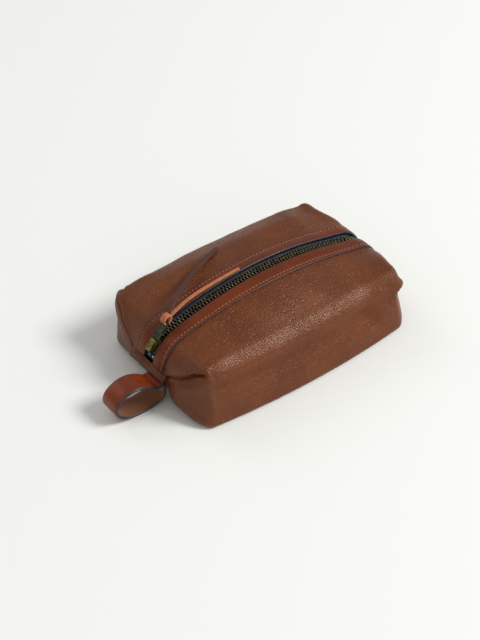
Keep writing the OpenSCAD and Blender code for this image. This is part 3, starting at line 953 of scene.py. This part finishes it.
# distance out from the end, height above the floor
upper_profile = [(-0.6, 29.4), (0.0, 28.4), (0.8, 27.7), (1.7, 27.2), (2.6, 26.9), (3.4, 26.7),
                 (lip_reach - 2.6, 26.4), (lip_reach - 2.3, 26.0)]
lower_profile = [(-1.6, 24.2), (-0.2, 24.9), (1.5, 25.0), (3.0, 25.0),
                 (lip_reach - 2.2, 24.8), (lip_reach - 1.9, 24.5)]
lip_thick, lip_stitch_out, lip_stitch_height = 1.35, 2.7, 27.05
for end, name in ((-1, "left"), (1, "right")):
    for layer, profile in (("upper", upper_profile), ("lower", lower_profile)):
        outer, inner = lip_layer(end, profile, lip_thick)
        lip = sheet(f"{name}_lip_{layer}", outer, inner, [hide_finish, suede, painted_edge])
        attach(lip, "bag")
        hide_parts(name + "_seam")
    run = np.arange(-seam_half + 2.5, seam_half - 2, stitch_pitch)
    frames = [(np.array([end * (end_x + lip_stitch_out), y, lip_stitch_height]),
               np.array([[0, 1, 0], [-1, 0, 0], [0, 0, 1.0]])) for y in run]
    lip_stitches = set_down(name + "_lip_stitches", stitch_solid(stitch_length, thread), frames,
                            brown_thread)
    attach(lip_stitches, "bag")
    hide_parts(name + "_seam_stitches")
print("lips reach", round(lip_reach, 1), "mm from the ends")

# %% [markdown]
# ## Ribbons
#
# The carry strap and the thong are ribbons: a rounded flat section carried along a smooth
# path. The path's few points are joined by a curve that passes through all of them, and
# the section is turned so that its flat stays level across the bag.


# %% A ribbon along a path
def curve_through(points, per_span):
    """Catmull-Rom curve through the points."""
    points = np.array(points, float)
    padded = np.concatenate([[2 * points[0] - points[1]], points, [2 * points[-1] - points[-2]]])
    found = []
    for i in range(len(points) - 1):
        a, b, c, d = padded[i:i + 4]
        for t in np.linspace(0, 1, per_span, endpoint=False):
            found.append(0.5 * (2 * b + (c - a) * t + (2 * a - 5 * b + 4 * c - d) * t ** 2
                                + (3 * b - a - 3 * c + d) * t ** 3))
    return np.array(found + [points[-1]])


def even_steps(path, step):
    run = np.concatenate([[0], np.cumsum(np.linalg.norm(np.diff(path, axis=0), axis=1))])
    places = np.linspace(0, run[-1], max(int(run[-1] / step), 4) + 1)
    return np.stack([np.interp(places, run, path[:, k]) for k in range(3)], 1), places


def ribbon(name, path, widths, thickness, finishes, twist=None):
    """Finishes: upper face, under face, edges. The section has rounded edges."""
    path = np.asarray(path, float)
    along = unit(np.gradient(path, axis=0))
    sides = np.cross([0, 0, 1.0], along) if twist is None else np.broadcast_to(twist, path.shape)
    sides = sides - along * np.sum(sides * along, 1)[:, None]
    sides = unit(sides) * np.where(sides[:, 1:2] < 0, -1, 1)
    ups = np.cross(along, sides)
    section = [(-0.5, 0.0, 2), (-0.485, 0.33, 2), (-0.45, 0.5, 0), (-0.25, 0.5, 0), (0.0, 0.5, 0),
               (0.25, 0.5, 0), (0.45, 0.5, 2), (0.485, 0.33, 2), (0.5, 0.0, 2), (0.485, -0.33, 2),
               (0.45, -0.5, 1), (0.2, -0.5, 1), (-0.2, -0.5, 1), (-0.45, -0.5, 2),
               (-0.485, -0.33, 2)]
    count = len(section)
    widths = np.broadcast_to(widths, len(path))
    points = np.concatenate([path[i] + np.array([widths[i] * w * sides[i] + thickness * h * ups[i]
                                                 for w, h, _ in section])
                             for i in range(len(path))])
    faces, finish_of_face = [], []
    for i in range(len(path) - 1):
        for j in range(count):
            a, b = i * count + j, i * count + (j + 1) % count
            faces.append((a, b, b + count, a + count))
            finish_of_face.append(section[j][2])
    faces += [tuple(range(count - 1, -1, -1)), tuple(range((len(path) - 1) * count, len(points)))]
    return face_outwards(add_object(name, points, faces, finishes, finish_of_face + [2, 2]))


# %% [markdown]
# ## Carry loop
#
# One strap comes out from under the left lip, off centre, stands up in a loop beside the
# bag and runs back under the end. Both of its ends are caught in the seam. It is a ribbon
# in one upright plane with painted edges.

# %% Strap
loop_low, loop_high = node_box("carry_loop")
loop_y = (loop_low[1] + loop_high[1]) / 2
loop_width = 1.12 * (loop_high[1] - loop_low[1])
loop_points = [(-118.6, 21.4), (-123.0, 21.0), (-127.8, 21.0), (-134, 25.4), (-142, 29.2),
               (-150.5, 30.2), (-159, 28.0), (-165.6, 23.0), (-168.0, 16), (-165, 8.8),
               (-157, 3.8), (-146, 2.2), (-134, 2.6), (-124, 5), (-119, 10), (-119.2, 15.6),
               (-118.9, 19.2)]
strap_path, _ = even_steps(curve_through([(x, loop_y, z) for x, z in loop_points], 8), 1.6)
strap = ribbon("carry_loop_strap", strap_path, loop_width, 2.5,
               [suede, strap_finish, painted_edge], twist=(0, 1, 0))
bend_with(strap)
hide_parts("carry_loop", "loop_ends")
print("strap:", len(strap_path), "sections,", round(loop_width, 1), "mm wide")

# %% [markdown]
# ## Slider and puller
#
# The slider is die-cast brass: two wings with turned-in sides that squeeze the rows of
# teeth together, joined by a wedge, and an arch on top that holds the puller's bar. The
# puller is a flat tab with a window at one end for the arch and a slot at the other for
# the thong. Outlines are drawn flat, given thickness, and their edges rounded with Bevel.

# %% The slider's frame
slider_x = -111.0
slider_origin = on_top(slider_x, 0.0, -skin_over_teeth - zip_depth)
slider_along = np.array([math.cos(zip_slope(slider_x)), 0, math.sin(zip_slope(slider_x))])
slider_axes = np.stack([slider_along, [0, 1, 0], np.cross(slider_along, [0, 1, 0])])
bar_along, bar_up = slider_axes[[0, 2]] @ (pivot["puller_swing"] - slider_origin)
print("slider origin", np.round(slider_origin, 2), "bar at", round(bar_along, 2), round(bar_up, 2))


def soften(piece, width, segments=2):
    """Rounds every edge steeper than thirty degrees."""
    bevel = piece.modifiers.new("bevel", "BEVEL")
    bevel.width = width * MM
    bevel.segments = segments
    bevel.limit_method = "ANGLE"
    bevel.angle_limit = math.radians(30)
    bevel.harden_normals = False
    return piece


def rounded(outline, radius, steps=4):
    """An outline whose corners are rounded, by one radius or by one for each."""
    outline = [np.array(p, float) for p in outline]
    radii = np.broadcast_to(radius, len(outline))
    found = []
    for i, corner in enumerate(outline):
        before = outline[i - 1] - corner
        after = outline[(i + 1) % len(outline)] - corner
        reach = min(radii[i], np.linalg.norm(before) * 0.45, np.linalg.norm(after) * 0.45)
        start, stop = corner + unit(before) * reach, corner + unit(after) * reach
        for t in np.linspace(0, 1, steps + 1):
            found.append((1 - t) ** 2 * start + 2 * t * (1 - t) * corner + t * t * stop)
    return found


def in_slider(points):
    """Points given along, across and up in the slider's frame, in the bag's frame."""
    return slider_origin + np.asarray(points) @ slider_axes


def solid_in_slider(name, parts, finish, round_edges):
    points, faces = [], []
    for part_points, part_faces in parts:
        faces += [tuple(i + len(points) for i in face) for face in part_faces]
        points += [tuple(p) for p in part_points]
    piece = face_outwards(add_object(name, in_slider(np.array(points)), faces, [finish]))
    soften(piece, round_edges)
    sharpen(piece, 40)
    return piece


# %% Slider body and arch
wing_outline = rounded([(-6.7, 3.4), (-6.7, -3.4), (-5.2, -5.6), (-1.0, -5.6), (3.6, -4.9),
                        (6.0, -3.2), (6.0, 3.2), (3.6, 4.9), (-1.0, 5.6), (-5.2, 5.6)], 1.6)
throat = 2.1
wing = 1.2
upper_wing = prism(wing_outline, [(throat, 0), (throat + wing, 0)])
lower_wing = prism(wing_outline, [(-throat - wing, 0), (-throat, 0)])
wedge = prism(rounded([(-5.4, 1.6), (-5.4, -1.6), (-1.0, -0.8), (-1.0, 0.8)], 0.5),
              [(-throat - 0.2, 0), (throat + 0.2, 0)])
side_walls = []
for across in (-1, 1):
    for low, high in ((0.9, throat + 0.3), (-throat - 0.3, -0.9)):
        wall = [(-4.4, across * 4.5), (-4.4, across * 5.5), (-1.0, across * 5.5),
                (3.4, across * 4.85), (3.4, across * 3.9), (-1.0, across * 4.5)]
        side_walls.append(prism(wall, [(low, 0), (high, 0)]))
slider = solid_in_slider("slider_body_brass", [upper_wing, lower_wing, wedge] + side_walls,
                         slider_finish, 0.28)
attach(slider, "slider")
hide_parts("slider_body", "slider_post")

arch_low, arch_top, arch_wall, arch_half = throat + wing - 0.2, 8.3, 1.15, 2.8
arch_corners = [(-7.0, arch_low, 0.1), (-7.2, arch_top, 1.8), (4.6, arch_top, 2.2),
                (4.6, arch_low, 0.1), (4.6 - arch_wall, arch_low, 0.1),
                (4.6 - arch_wall, arch_top - arch_wall, 1.4),
                (arch_wall - 7.0, arch_top - arch_wall, 1.2), (arch_wall - 7.0, arch_low, 0.1)]
arch_points, arch_faces = prism(rounded([p[:2] for p in arch_corners],
                                        [p[2] for p in arch_corners], 5),
                                [(-arch_half, 0), (arch_half, 0)])
arch = solid_in_slider("slider_arch", [(arch_points[:, [0, 2, 1]], arch_faces)],
                       slider_finish, 0.3)
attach(arch, "slider")
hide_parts("slider_bridge")
print("slider", len(slider.data.polygons), "faces, arch", len(arch.data.polygons))


# %% Puller
def pierced_plate(xs, ys, holes, low, high):
    """A plate on a grid of lines, open wherever a cell is in holes."""
    work = bmesh.new()
    corner = {(i, j): work.verts.new((x, y, low)) for i, x in enumerate(xs)
              for j, y in enumerate(ys)}
    for i in range(len(xs) - 1):
        for j in range(len(ys) - 1):
            if (i, j) not in holes:
                work.faces.new([corner[i, j], corner[i + 1, j], corner[i + 1, j + 1],
                                corner[i, j + 1]])
    grown = bmesh.ops.extrude_face_region(work, geom=work.faces[:])
    raised = [g for g in grown["geom"] if isinstance(g, bmesh.types.BMVert)]
    bmesh.ops.translate(work, verts=raised, vec=(0, 0, high - low))
    bmesh.ops.dissolve_limit(work, angle_limit=math.radians(2), verts=work.verts[:],
                             edges=work.edges[:])
    loose = [v for v in work.verts if not v.link_faces]
    bmesh.ops.delete(work, geom=loose, context="VERTS")
    work.verts.index_update()
    points = [tuple(v.co) for v in work.verts]
    faces = [tuple(v.index for v in f.verts) for f in work.faces]
    work.free()
    return points, faces


tab_half, tab_thick = 4.2, 1.5
tab_end = bar_along + 26
tab_xs = [bar_along - 0.8, bar_along + 0.8, 5.6, tab_end - 5.5, tab_end - 2.5, tab_end]
tab_ys = [-tab_half, -3.05, 3.05, tab_half]
tab = solid_in_slider("puller_tab_brass",
                      [pierced_plate(tab_xs, tab_ys, {(1, 1), (3, 1)},
                                     bar_up - tab_thick / 2, bar_up + tab_thick / 2)],
                      puller_finish, 0.42)
tab.modifiers["bevel"].segments = 3
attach(tab, "puller")
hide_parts("puller_tab")
print("puller reaches", round(float(tab_end), 1), "mm along from the slider's middle")


# %% Top stops
stop_x = slider_x - 5.6
stop_origin = on_top(stop_x, 0.0, -skin_over_teeth - zip_depth)
stop_slope = zip_slope(stop_x)
stop_axes = np.stack([[math.cos(stop_slope), 0, math.sin(stop_slope)], [0, 1, 0],
                      [-math.sin(stop_slope), 0, math.cos(stop_slope)]])
stop_points, stop_faces = [], []
for across in (-1, 1):
    clip = prism(rounded([(-1.1, -1.3), (1.1, -1.3), (1.1, 1.3), (-1.1, 1.3)], 0.5),
                 [(-1.5, 0.2), (-1.3, 0), (1.3, 0), (1.5, 0.2)])
    stop_faces += [tuple(i + len(stop_points) for i in face) for face in clip[1]]
    stop_points += [stop_origin + (p + [0, across * 2.5, 0]) @ stop_axes for p in clip[0]]
stops = face_outwards(add_object("top_stop_clips", np.array(stop_points), stop_faces,
                                 [stop_finish]))
sharpen(stops, 45)
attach(stops, "bag")
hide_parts("top_stops")
print("stops at", np.round(stop_origin, 1))

# %% [markdown]
# ## Thong
#
# A thin leather lace is folded round the puller's end bar and both of its tails are left
# loose. One lies along the zip with its pale flesh side up; the other is darker, narrows
# to a point and crosses the back of the top. The lace is a ribbon too. The fold stays with
# the puller; the tails stay where they are laid.

# %% Lace
bar_middle = tab_end - 1.25
lace_thick = 1.5
fold_width, fold_thick = 6.2, 1.9
turn = np.radians(np.arange(-215, 145, 15))
fold_path = in_slider(np.stack([bar_middle + 2.4 + 4.2 * np.cos(turn), 0 * turn,
                                bar_up + 0.9 + 3.1 * np.sin(turn)], 1))
fold = ribbon("thong_fold", fold_path, fold_width, fold_thick, [tan_flesh, tan_flesh, tan_flesh],
              twist=(0, 1, 0))
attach(fold, "puller")


def lace_tail(name, start, tail, widths, finishes):
    """A loose tail: its start in the slider's frame, the rest of its route in the bag's."""
    path, run = even_steps(curve_through(np.concatenate([in_slider(start), tail]), 8), 1.2)
    lace = ribbon(name, path, np.interp(run / run[-1], *widths), lace_thick, finishes)
    bend_with(lace)
    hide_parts("thong")
    print(name, round(float(run[-1]), 1), "mm long")


lace_tail("thong_lower_tail",
          [(bar_middle + 2.2, 0, bar_up - 0.8), (bar_middle + 4.6, 0.6, bar_up - 0.9)],
          [(-91.0, 1.8, 68.0), (-84, 3.0, 69.2), (-78, 4.3, 70.2), (-64, 5.6, 72.6),
           (-48, 6.4, 74.0), (-32, 6.8, 75.2), (-16, 6.9, 76.2)],
          ([0, 0.2, 1], [4.4, 3.3, 2.8]), [tan_flesh, thong_dark, tan_flesh])
lace_tail("thong_upper_tail",
          [(bar_middle + 1.6, 0.2, bar_up + 2.0), (bar_middle + 4.6, 1.0, bar_up + 2.0)],
          [(-87, 7, 74.0), (-75, 14.5, 74.2), (-55, 26, 73.6), (-40, 33.5, 72.8),
           (-25, 40.5, 71.4), (-9, 48, 69.2)],
          ([0, 0.12, 0.4, 0.97, 1], [5.4, 6.4, 5.4, 4.6, 2.6]),
          [thong_dark, thong_dark, thong_dark])
